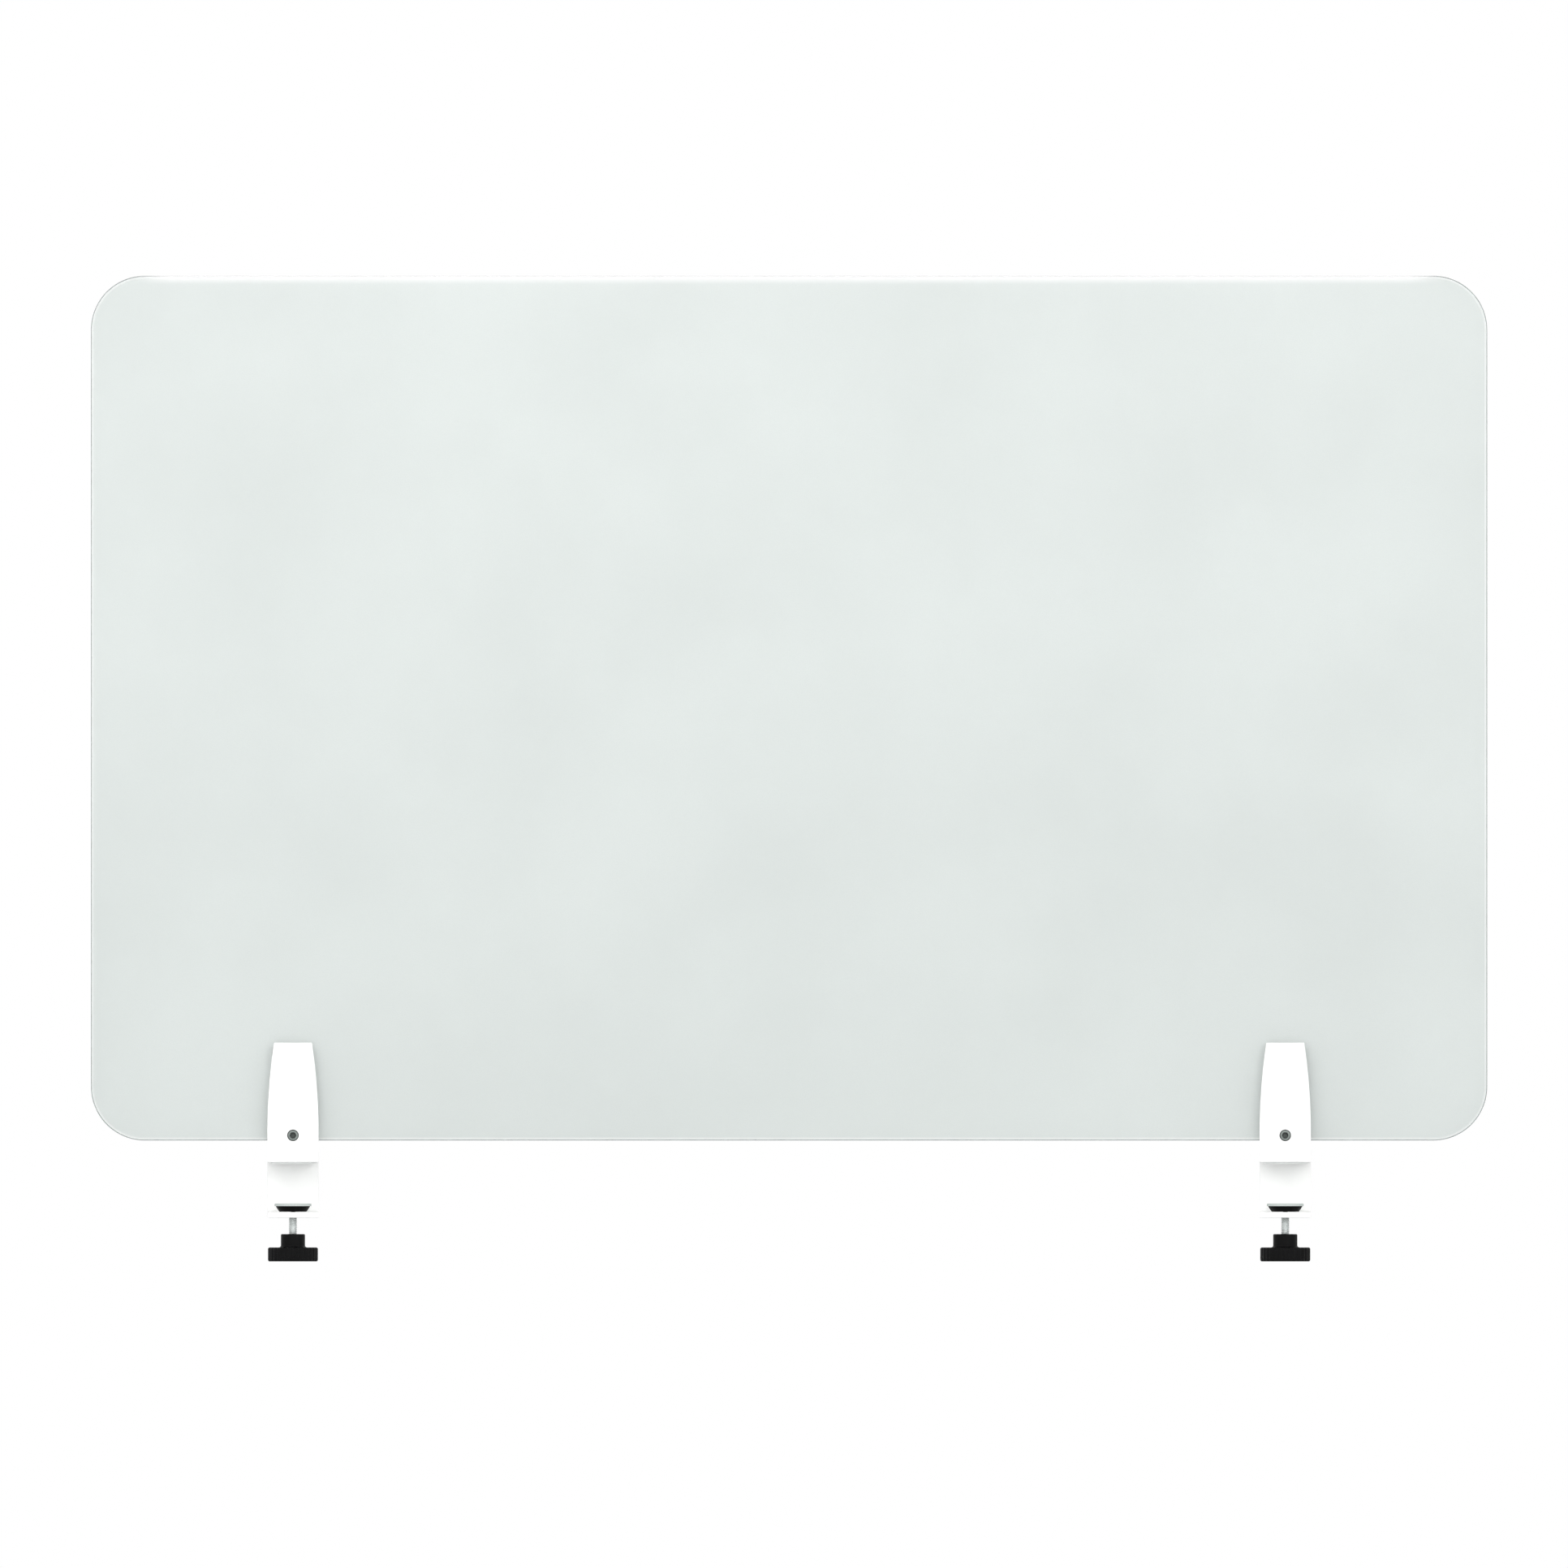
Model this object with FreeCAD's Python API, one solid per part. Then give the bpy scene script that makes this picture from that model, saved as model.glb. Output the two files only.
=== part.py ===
"""Desk privacy panel: a frosted panel held along its lower edge by two desk clamps.

Millimetres. X runs along the panel, Y away from the person at the desk, Z up.
The origin is on the desk top, at the desk's rear edge, midway between the clamps:
z = 0 is the desk top, y = 0 the desk's rear edge, which the clamp webs touch.
"""
import FreeCAD, Part
import math
import os

V = FreeCAD.Vector
AXIS_X = V(1, 0, 0)
AXIS_Y = V(0, 1, 0)
AXIS_Z = V(0, 0, 1)

# ---- panel ----
panel_width = 985.0
panel_height = 610.0
panel_thickness = 6.0
panel_corner_radius = 38.0
panel_edge_chamfer = 0.5

# ---- clamp casting ----
clamp_spacing = 700.0  # from one clamp's middle to the other's
clamp_width = 36.2
clamp_depth = 36.0  # from the front face to the desk's rear edge
throat_height = 34.2  # from the desk top down to the lower arm
web_thickness = 4.0
arm_thickness = 4.0
saddle_height = 15.3  # solid block between the jaw and the panel slot
tongue_height = 69.1  # how far both tongues stand above the slot's floor
tongue_tip_width = 26.8
straight_height = 5.2  # above the slot's floor the tongue sides stay upright this far
front_wall = 5.0  # front tongue at its foot
front_wall_tip = 3.5
front_upright = 15.0  # the front tongue starts to thin this far above the slot's floor
rear_wall = 4.5
rear_wall_tip = 3.5
rear_root_radius = 8.0
rear_corner_radius = 4.0
heel_radius = 6.0  # outside bend between web and lower arm
throat_radius = 3.0  # inside of the same bend
tip_round = 1.5
edge_round = 0.6

# ---- what lies in the slot, from the rear tongue forwards ----
liner_thickness = 1.0
plate_thickness = 2.0
grip_gap = 2.0  # free space in front of the pressure plate
slot_inset = 1.0  # liners and plate stay this far inside the tongue's sides
slot_tip_drop = 2.0  # and this far below its tip

# ---- jaw pad ----
pad_thickness = 1.0
pad_inset = 2.5
pad_corner_radius = 3.0

# ---- grip screw: M8 set screw with a 4 mm hex socket ----
grip_radius = 4.0
grip_height = 3.6  # its axis above the slot's floor
grip_recess = 0.4
grip_chamfer = 0.6
grip_socket_flats = 4.0
grip_socket_depth = 3.5

# ---- clamp screw: M6 hexagon bolt, its end turned to a ball ----
screw_radius = 3.0
screw_setback = 17.5  # from the desk's rear edge to the screw's axis
ball_radius = 2.3
neck_radius = 1.45
neck_length = 0.6
shoulder_height = 0.6
head_flats = 10.0
head_height = 4.0

# ---- threaded bush pressed into the lower arm ----
bush_radius = 5.0

# ---- swivel foot ----
foot_face_radius = 13.0
foot_face_thickness = 1.2
foot_face_chamfer = 0.3
foot_lip_depth = 0.7  # how far the rubber laps down round the cup's rim
cup_top_radius = 12.3
cup_bottom_radius = 9.6
cup_bulge = 0.35  # how far the cup's side bows out from a straight cone
cup_height = 4.6
socket_roof = 0.7
foot_lift = 0.3  # gap under the foot when the screw is wound right down

# ---- knob ----
hub_radius = 8.55
hub_height = 9.4
hub_chamfer = 0.6
hub_drop = 11.5  # from the lower arm to the hub's top
flange_radius = 17.7
flange_height = 9.9
flange_round = 1.0
hub_root_radius = 1.5
flute_count = 30
flute_radius = 1.6
flute_depth = 0.5
boss_radius = 8.0
rim_wall = 2.5
core_depth = 7.0
rib_count = 6
rib_thickness = 1.6
head_recess = 1.0  # the bolt's head lies this far inside the knob

# ---- clearances ----
thread_clearance = 0.05
moulded_clearance = 0.02
socket_clearance = 0.1

# ---- places that follow from the sizes ----
jaw_z = pad_thickness
slot_floor_z = jaw_z + saddle_height
tongue_top_z = slot_floor_z + tongue_height
panel_top_z = slot_floor_z + panel_height
arm_top_z = -throat_height
arm_bottom_z = arm_top_z - arm_thickness

front_y = -clamp_depth
slot_front_y = front_y + front_wall
plate_front_y = slot_front_y + grip_gap
front_liner_y = plate_front_y + plate_thickness
panel_front_y = front_liner_y + liner_thickness
rear_liner_y = panel_front_y + panel_thickness
slot_rear_y = rear_liner_y + liner_thickness
grip_z = slot_floor_z + grip_height

foot_bottom_z = arm_top_z + foot_lift
cup_top_z = foot_bottom_z + cup_height
foot_top_z = cup_top_z + foot_face_thickness
socket_radius = ball_radius + socket_clearance
ball_z = cup_top_z - socket_roof - socket_radius

hub_top_z = arm_bottom_z - hub_drop
flange_top_z = hub_top_z - hub_height
knob_bottom_z = flange_top_z - flange_height
head_bottom_z = knob_bottom_z + head_recess


def box(x, y, z):
    """A block between pairs of limits."""
    corner = V(x[0], y[0], z[0])
    return Part.makeBox(x[1] - x[0], y[1] - y[0], z[1] - z[0], corner)


def polygon_face(points):
    return Part.Face(Part.makePolygon(points + points[:1]))


def edges_on_line(shape, y, z):
    """The edges that run along X through one place in the side view."""
    found = []
    for edge in shape.Edges:
        if all(math.hypot(vertex.Y - y, vertex.Z - z) < 0.01 for vertex in edge.Vertexes):
            found.append(edge)
    return found


def edges_along(shape, axis):
    """A block's straight edges that run along one axis."""
    return [edge for edge in shape.Edges if abs(edge.tangentAt(edge.FirstParameter).dot(axis)) > 0.999]


def hexagon(flats, bottom_z, height):
    """An upright hexagonal bar around the Z axis, with two of its flats facing along Y."""
    corner_radius = flats / math.sqrt(3)
    corners = []
    for step in range(6):
        angle = math.radians(60 * step)
        corners.append(V(corner_radius * math.cos(angle), corner_radius * math.sin(angle), bottom_z))
    return polygon_face(corners).extrude(V(0, 0, height))


def side_radius():
    """Radius of the arc that narrows a tongue from the full width to its tip."""
    rise = tongue_height - straight_height
    narrowing = (clamp_width - tongue_tip_width) / 2
    return (rise ** 2 + narrowing ** 2) / (2 * narrowing)


def half_width(z, inset):
    """Half of a tongue's width at a height, measured inside its sides by the inset."""
    above = z - slot_floor_z - straight_height
    if above <= 0:
        return clamp_width / 2 - inset
    radius = side_radius()
    return clamp_width / 2 - radius + math.sqrt((radius - inset) ** 2 - above ** 2)


def tongue_outline(bottom_z, top_z, inset):
    """The front view of a tongue: upright sides, then two arcs that lean in to a straight tip."""
    bend_z = slot_floor_z + straight_height
    middle_z = (bend_z + top_z) / 2
    wide = half_width(bend_z, inset)
    middle = half_width(middle_z, inset)
    tip = half_width(top_z, inset)
    edges = [
        Part.makeLine(V(-wide, 0, bottom_z), V(wide, 0, bottom_z)),
        Part.makeLine(V(wide, 0, bottom_z), V(wide, 0, bend_z)),
        Part.Arc(V(wide, 0, bend_z), V(middle, 0, middle_z), V(tip, 0, top_z)).toShape(),
        Part.makeLine(V(tip, 0, top_z), V(-tip, 0, top_z)),
        Part.Arc(V(-tip, 0, top_z), V(-middle, 0, middle_z), V(-wide, 0, bend_z)).toShape(),
        Part.makeLine(V(-wide, 0, bend_z), V(-wide, 0, bottom_z)),
    ]
    return Part.Face(Part.Wire(edges))


def slot_strip(front, thickness):
    """A liner or plate that stands on the slot's floor and follows the tongue's outline."""
    outline = tongue_outline(slot_floor_z, tongue_top_z - slot_tip_drop, slot_inset)
    return outline.extrude(V(0, thickness, 0)).translated(V(0, front, 0))


def panel():
    left = -panel_width / 2
    blank = box((left, -left), (panel_front_y, rear_liner_y), (slot_floor_z, panel_top_z))
    blank = blank.makeFillet(panel_corner_radius, edges_along(blank, AXIS_Y))
    rims = [edge for edge in blank.Edges if edge.BoundBox.YLength < 0.01]
    return blank.makeChamfer(panel_edge_chamfer, rims)


def clamp_section():
    """The side view of a clamp: throat and lower arm below, saddle and two tongues above."""
    rear_foot_y = slot_rear_y + rear_wall
    outline = [
        (front_y, arm_bottom_z),
        (web_thickness, arm_bottom_z),
        (web_thickness, slot_floor_z),
        (rear_foot_y, slot_floor_z),
        (slot_rear_y + rear_wall_tip, tongue_top_z),
        (slot_rear_y, tongue_top_z),
        (slot_rear_y, slot_floor_z),
        (slot_front_y, slot_floor_z),
        (slot_front_y, tongue_top_z),
        (slot_front_y - front_wall_tip, tongue_top_z),
        (front_y, slot_floor_z + front_upright),
        (front_y, jaw_z),
        (0, jaw_z),
        (0, arm_top_z),
        (front_y, arm_top_z),
    ]
    left = -clamp_width / 2
    solid = polygon_face([V(left, y, z) for y, z in outline]).extrude(V(clamp_width, 0, 0))
    rounds = [
        (web_thickness, arm_bottom_z, heel_radius),
        (web_thickness, slot_floor_z, rear_corner_radius),
        (rear_foot_y, slot_floor_z, rear_root_radius),
        (0, arm_top_z, throat_radius),
        (slot_rear_y + rear_wall_tip, tongue_top_z, tip_round),
        (slot_front_y - front_wall_tip, tongue_top_z, tip_round),
    ]
    for y, z, radius in rounds:
        solid = solid.makeFillet(radius, edges_on_line(solid, y, z))
    return solid


def clamp_body():
    depth = clamp_depth + web_thickness
    outline = tongue_outline(arm_bottom_z, tongue_top_z, 0).translated(V(0, front_y, 0))
    solid = clamp_section().common(outline.extrude(V(0, depth, 0)))
    solid = solid.makeFillet(edge_round, [edge for edge in solid.Edges if is_front_side(edge)])
    grip_bore = Part.makeCylinder(
        grip_radius + thread_clearance, plate_front_y - front_y, V(0, front_y, grip_z), AXIS_Y
    )
    bush_bore = Part.makeCylinder(
        bush_radius + moulded_clearance, arm_thickness, V(0, -screw_setback, arm_bottom_z), AXIS_Z
    )
    return solid.cut(grip_bore).cut(bush_bore)


def is_front_side(edge):
    """True for the edges that run up both sides of the front tongue's outer face."""
    size = edge.BoundBox
    at_side = min(abs(size.XMin), abs(size.XMax)) > tongue_tip_width / 2 - 0.5
    in_front = size.YMax < slot_front_y - front_wall_tip + 0.2
    return at_side and in_front and size.ZLength > saddle_height and size.ZMin > 0


def jaw_pad():
    side = clamp_width / 2 - pad_inset
    pad = box((-side, side), (front_y + pad_inset, -pad_inset), (0, pad_thickness))
    return pad.makeFillet(pad_corner_radius, edges_along(pad, AXIS_Z))


def grip_screw():
    outer_y = front_y + grip_recess
    length = plate_front_y - outer_y
    body = Part.makeCylinder(grip_radius, length, V(0, outer_y, grip_z), AXIS_Y)
    rims = [edge for edge in body.Edges if edge.BoundBox.YLength < 0.01]
    body = body.makeChamfer(grip_chamfer, rims)
    socket = hexagon(grip_socket_flats, 0, grip_socket_depth)
    socket.rotate(V(0, 0, 0), AXIS_X, -90)
    socket.translate(V(0, outer_y, grip_z))
    return body.cut(socket)


def on_screw_axis(shape):
    """Moves what was made around the Z axis to the clamp screw's axis."""
    return shape.translated(V(0, -screw_setback, 0))


def clamp_screw():
    neck_top_z = ball_z - math.sqrt(ball_radius ** 2 - neck_radius ** 2)
    neck_bottom_z = neck_top_z - neck_length
    ball_side = math.sqrt(0.5) * ball_radius
    ball_top = V(0, 0, ball_z + ball_radius)
    neck_top = V(neck_radius, 0, neck_top_z)
    corners = [
        neck_top,
        V(neck_radius, 0, neck_bottom_z),
        V(screw_radius, 0, neck_bottom_z - shoulder_height),
        V(screw_radius, 0, head_bottom_z),
        V(0, 0, head_bottom_z),
        ball_top,
    ]
    edges = [Part.Arc(ball_top, V(ball_side, 0, ball_z + ball_side), neck_top).toShape()]
    for start, end in zip(corners, corners[1:]):
        edges.append(Part.makeLine(start, end))
    shank = Part.Face(Part.Wire(edges)).revolve(V(0, 0, 0), AXIS_Z, 360)
    head = hexagon(head_flats, head_bottom_z, head_height)
    return on_screw_axis(shank.fuse(head).removeSplitter())


def thread_bush():
    outer = Part.makeCylinder(bush_radius, arm_thickness, V(0, 0, arm_bottom_z), AXIS_Z)
    inner = Part.makeCylinder(
        screw_radius + thread_clearance, arm_thickness, V(0, 0, arm_bottom_z), AXIS_Z
    )
    return on_screw_axis(outer.cut(inner))


def foot_face():
    """A rubber cap: a disc on top of the cup, with a lip that laps down round the cup's rim."""
    lip_bottom = V(0, 0, cup_top_z - foot_lip_depth)
    cap = Part.makeCylinder(foot_face_radius, foot_face_thickness + foot_lip_depth, lip_bottom, AXIS_Z)
    rims = [edge for edge in cap.Edges if edge.BoundBox.ZLength < 0.01]
    chamfered_cap = cap.makeChamfer(foot_face_chamfer, rims)
    cup_space = Part.makeCylinder(
        cup_top_radius + moulded_clearance, foot_lip_depth, lip_bottom, AXIS_Z
    )
    return on_screw_axis(chamfered_cap.cut(cup_space))


def foot_cup():
    """A shallow bowl whose bowed side narrows downwards, with a ball socket in its underside."""
    side_middle = V(
        (cup_top_radius + cup_bottom_radius) / 2 + cup_bulge, 0, (cup_top_z + foot_bottom_z) / 2
    )
    top_rim = V(cup_top_radius, 0, cup_top_z)
    bottom_rim = V(cup_bottom_radius, 0, foot_bottom_z)
    edges = [
        Part.makeLine(V(0, 0, cup_top_z), top_rim),
        Part.Arc(top_rim, side_middle, bottom_rim).toShape(),
        Part.makeLine(bottom_rim, V(0, 0, foot_bottom_z)),
        Part.makeLine(V(0, 0, foot_bottom_z), V(0, 0, cup_top_z)),
    ]
    bowl = Part.Face(Part.Wire(edges)).revolve(V(0, 0, 0), AXIS_Z, 360)
    socket = Part.makeSphere(socket_radius, V(0, 0, ball_z))
    return on_screw_axis(bowl.cut(socket))


def knob_blank():
    """The turned outside of the knob: a wide flange with a slim hub on top."""
    outline = [
        (0, knob_bottom_z),
        (flange_radius, knob_bottom_z),
        (flange_radius, flange_top_z),
        (hub_radius, flange_top_z),
        (hub_radius, hub_top_z - hub_chamfer),
        (hub_radius - hub_chamfer, hub_top_z),
        (0, hub_top_z),
    ]
    face = polygon_face([V(radius, 0, z) for radius, z in outline])
    solid = face.revolve(V(0, 0, 0), AXIS_Z, 360)
    root = circle_edges(solid, hub_radius, flange_top_z)
    solid = solid.makeFillet(hub_root_radius, root)
    rims = circle_edges(solid, flange_radius, flange_top_z)
    rims += circle_edges(solid, flange_radius, knob_bottom_z)
    return solid.makeFillet(flange_round, rims)


def circle_edges(shape, radius, z):
    """The level circular edges of one radius at one height."""
    found = []
    for edge in shape.Edges:
        size = edge.BoundBox
        level = size.ZLength < 0.01 and abs(size.ZMin - z) < 0.01
        if level and abs(size.XLength - 2 * radius) < 0.01:
            found.append(edge)
    return found


def knob():
    solid = knob_blank()
    flute_centre = flange_radius + flute_radius - flute_depth
    for step in range(flute_count):
        angle = 2 * math.pi * step / flute_count
        foot = V(flute_centre * math.cos(angle), flute_centre * math.sin(angle), knob_bottom_z)
        solid = solid.cut(Part.makeCylinder(flute_radius, flange_height, foot, AXIS_Z))
    base = V(0, 0, knob_bottom_z)
    core = Part.makeCylinder(flange_radius - rim_wall, core_depth, base, AXIS_Z)
    core = core.cut(Part.makeCylinder(boss_radius, core_depth, base, AXIS_Z))
    for step in range(rib_count):
        rib = box(
            (0, flange_radius),
            (-rib_thickness / 2, rib_thickness / 2),
            (knob_bottom_z, knob_bottom_z + core_depth),
        )
        rib.rotate(V(0, 0, 0), AXIS_Z, 360 / rib_count * step)
        core = core.cut(rib)
    pocket_flats = head_flats + 2 * moulded_clearance
    pocket = hexagon(pocket_flats, knob_bottom_z, head_recess + head_height)
    bore = Part.makeCylinder(
        screw_radius + moulded_clearance, hub_top_z - knob_bottom_z, base, AXIS_Z
    )
    return on_screw_axis(solid.cut(core).cut(pocket).cut(bore))


def clamp_pieces():
    """Every piece of one clamp, around x = 0."""
    return {
        "clamp_body": clamp_body(),
        "jaw_pad": jaw_pad(),
        "rear_liner": slot_strip(rear_liner_y, liner_thickness),
        "front_liner": slot_strip(front_liner_y, liner_thickness),
        "pressure_plate": slot_strip(plate_front_y, plate_thickness),
        "grip_screw": grip_screw(),
        "thread_bush": thread_bush(),
        "clamp_screw": clamp_screw(),
        "foot_cup": foot_cup(),
        "foot_face": foot_face(),
        "knob": knob(),
    }


os.makedirs("parts", exist_ok=True)
panel().exportStep("parts/panel.step")
pieces = clamp_pieces()
for side, x in (("left", -clamp_spacing / 2), ("right", clamp_spacing / 2)):
    for name, shape in pieces.items():
        shape.translated(V(x, 0, 0)).exportStep(f"parts/{side}_{name}.step")
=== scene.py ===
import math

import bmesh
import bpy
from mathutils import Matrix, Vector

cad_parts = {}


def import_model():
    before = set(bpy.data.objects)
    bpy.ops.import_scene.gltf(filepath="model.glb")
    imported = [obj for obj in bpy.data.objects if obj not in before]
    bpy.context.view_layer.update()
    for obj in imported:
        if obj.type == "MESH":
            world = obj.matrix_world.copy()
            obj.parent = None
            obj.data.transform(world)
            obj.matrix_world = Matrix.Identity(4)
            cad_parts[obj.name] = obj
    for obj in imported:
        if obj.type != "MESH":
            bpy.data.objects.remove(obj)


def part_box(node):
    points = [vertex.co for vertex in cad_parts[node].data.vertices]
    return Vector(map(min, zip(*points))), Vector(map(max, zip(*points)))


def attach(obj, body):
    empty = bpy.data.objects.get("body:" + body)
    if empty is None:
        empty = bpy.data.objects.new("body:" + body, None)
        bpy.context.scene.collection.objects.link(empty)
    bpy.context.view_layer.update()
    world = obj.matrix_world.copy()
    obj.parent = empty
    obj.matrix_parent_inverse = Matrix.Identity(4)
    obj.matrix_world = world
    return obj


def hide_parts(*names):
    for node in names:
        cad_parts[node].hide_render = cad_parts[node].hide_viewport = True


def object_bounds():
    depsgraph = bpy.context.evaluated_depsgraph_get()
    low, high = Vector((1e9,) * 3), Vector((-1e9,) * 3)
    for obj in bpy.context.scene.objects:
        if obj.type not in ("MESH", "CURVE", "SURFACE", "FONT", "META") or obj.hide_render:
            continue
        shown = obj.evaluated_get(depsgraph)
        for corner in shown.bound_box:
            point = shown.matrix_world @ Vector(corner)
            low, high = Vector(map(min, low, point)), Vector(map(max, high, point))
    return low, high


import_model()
cad_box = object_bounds()

# Looks of the desk privacy panel: a frosted acrylic panel in two white desk clamps.
# Metres, in the part's own frame: X along the panel, Y away from the person at the desk, Z up,
# with the origin on the desk top's rear edge. Each clamp piece is modelled at the left clamp
# and copied to the right one.

MM = 0.001

# ---- places, from the frame ----
PANEL_LOW, PANEL_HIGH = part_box("panel")
BODY_LOW, BODY_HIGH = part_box("left_clamp_body")
PAD_LOW, PAD_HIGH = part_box("left_jaw_pad")
LINER_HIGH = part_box("left_rear_liner")[1]
BUSH_LOW, BUSH_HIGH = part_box("left_thread_bush")
CUP_LOW, CUP_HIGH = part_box("left_foot_cup")
FACE_LOW, FACE_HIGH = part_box("left_foot_face")
SCREW_LOW, SCREW_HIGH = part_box("left_clamp_screw")
KNOB_LOW, KNOB_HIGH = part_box("left_knob")
GRIP_LOW, GRIP_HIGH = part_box("left_grip_screw")
CLAMP_X = (BODY_LOW.x + BODY_HIGH.x) / 2
CLAMP_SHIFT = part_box("right_clamp_body")[0].x - BODY_LOW.x
SCREW_Y = (BUSH_LOW.y + BUSH_HIGH.y) / 2
GRIP_Z = (GRIP_LOW.z + GRIP_HIGH.z) / 2
HALF_WIDTH = (BODY_HIGH.x - BODY_LOW.x) / 2

# ---- sizes that the boxes don't give ----
PANEL_CORNER = 38.0 * MM
FRONT_WALL = 5.0 * MM
FRONT_WALL_TIP = 3.5 * MM
FRONT_UPRIGHT = 15.0 * MM  # the front wall is upright this far above the slot floor, then leans back
REAR_WALL = 4.5 * MM
REAR_WALL_TIP = 3.5 * MM
TONGUE_TIP = 26.8 * MM  # a tongue's width at its tip
STRAIGHT_SIDE = 5.2 * MM  # a tongue's sides are upright this far above the slot floor
SLOT_INSET = 1.0 * MM  # how far the strips in the slot stand in from the tongue's outline
HEEL_ROUND = 6.0 * MM
THROAT_ROUND = 3.0 * MM
REAR_CORNER = 4.0 * MM
REAR_ROOT = 8.0 * MM
TIP_ROUND = 1.5 * MM
COATED_EDGE = 0.7 * MM
RIM_ROUND = 1.2 * MM  # the knob's flange, at the top and the bottom of its rim
AIR = 0.08 * MM  # keeps two faces that lie together from sharing one plane

# ---- fineness of the meshes ----
TOUCHING = 1e-7  # points this near each other are one point
TURNED_STEPS = 64  # faces round a turned piece
FOOT_STEPS = 72
KNOB_FLUTES = 30
KNOB_STEPS = 8 * KNOB_FLUTES
SHARP = math.radians(35)  # a bend above this angle counts as an edge

# ---- studio light, by direction ----
FRONT_LIGHT = 1.3
SIDE_LIGHT = 0.75
BACK_LIGHT = 0.66
ROOM_LIGHT = 1.5  # strength of the room's light as a whole


# ================ modelling helpers ================

def select_none():
    bpy.ops.object.select_all(action="DESELECT")


def select_only(piece):
    select_none()
    piece.select_set(True)
    bpy.context.view_layer.objects.active = piece


def edit(piece):
    """Opens a piece in edit mode."""
    select_only(piece)
    bpy.ops.object.mode_set(mode="EDIT")


def leave():
    """Goes back to object mode."""
    bpy.ops.object.mode_set(mode="OBJECT")


def pick(kind, test):
    """Selects the vertices, edges or faces that pass a test, and nothing else."""
    mesh_data = bpy.context.object.data
    bpy.ops.mesh.select_mode(type=kind)
    bpy.ops.mesh.select_all(action="DESELECT")
    mesh = bmesh.from_edit_mesh(mesh_data)
    mesh.normal_update()
    items = {"VERT": mesh.verts, "EDGE": mesh.edges, "FACE": mesh.faces}[kind]
    for item in [item for item in items if test(item)]:
        item.select_set(True)
    bmesh.update_edit_mesh(mesh_data)


def pick_faces(normal, low, high):
    """Selects the faces that look one way and have their middle between two corners."""
    normal = Vector(normal)

    def wanted(face):
        middle = face.calc_center_median()
        inside = all(a <= c <= b for a, c, b in zip(low, middle, high))
        return inside and face.normal.dot(normal) > 0.9

    pick("FACE", wanted)


def pick_all():
    """Selects the whole mesh."""
    bpy.ops.mesh.select_all(action="SELECT")


def extrude(x=0.0, y=0.0, z=0.0):
    """Pulls new faces or edges out of what is selected."""
    bpy.ops.mesh.extrude_region_move(TRANSFORM_OT_translate={"value": (x, y, z)})


def move(x=0.0, y=0.0, z=0.0):
    """Moves what is selected."""
    bpy.ops.transform.translate(value=(x, y, z))


def cut(point, normal):
    """Cuts what is selected along a plane."""
    bpy.ops.mesh.bisect(plane_co=point, plane_no=normal)


def round_over(width, segments):
    """Rounds the selected edges."""
    bpy.ops.mesh.bevel(offset=width, segments=segments, affect="EDGES")


def new_piece(name):
    """Names the active object."""
    piece = bpy.context.object
    piece.name = name
    piece.data.name = name
    return piece


def settle():
    """Moves the active object's place, turn and scale into its mesh."""
    bpy.ops.object.transform_apply(location=True, rotation=True, scale=True)


def block(name, low, high):
    """The start of a square piece, between two corners."""
    select_none()
    low, high = Vector(low), Vector(high)
    bpy.ops.mesh.primitive_cube_add(size=1, location=(low + high) / 2, scale=high - low)
    settle()
    return new_piece(name)


def turned(name, outline, steps, closed=True):
    """A turned piece around the Z axis: an outline of (radius, height, rounding) corners, spun round.

    A closed outline goes round the section of a ring. An open one starts and ends on the axis.
    """
    select_none()
    bpy.ops.mesh.primitive_plane_add(size=MM)
    piece = new_piece(name)
    edit(piece)
    pick_all()
    bpy.ops.mesh.merge(type="CENTER")
    radius, height, _ = outline[0]
    pick_all()
    move(x=radius, z=height)
    for corner in outline[1:]:
        extrude(x=corner[0] - radius, z=corner[1] - height)
        radius, height, _ = corner
    if closed:
        ends = (outline[0], outline[-1])
        pick("VERT", lambda v: any(math.hypot(v.co.x - r, v.co.z - h) < TOUCHING for r, h, _ in ends))
        bpy.ops.mesh.edge_face_add()
    for radius, height, rounding in outline:
        if rounding:
            pick("VERT", lambda v: math.hypot(v.co.x - radius, v.co.z - height) < TOUCHING)
            bpy.ops.mesh.bevel(offset=rounding, segments=4, affect="VERTICES")
    pick_all()
    bpy.ops.mesh.spin(steps=steps, angle=2 * math.pi, center=(0, 0, 0), axis=(0, 0, 1))
    clean()
    leave()
    return piece


def clean():
    """Welds doubles and turns every face of the open piece outwards."""
    pick_all()
    bpy.ops.mesh.remove_doubles(threshold=TOUCHING)
    pick_all()
    bpy.ops.mesh.normals_make_consistent(inside=False)


def hexagon(name, across_flats, low, high):
    """A six-sided bar around the Z axis, with two flats facing along Y."""
    select_none()
    bpy.ops.mesh.primitive_cylinder_add(
        vertices=6,
        radius=across_flats / math.sqrt(3),
        depth=high - low,
        location=(0, 0, (low + high) / 2),
        rotation=(0, 0, math.radians(30)),
    )
    settle()
    return new_piece(name)


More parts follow.
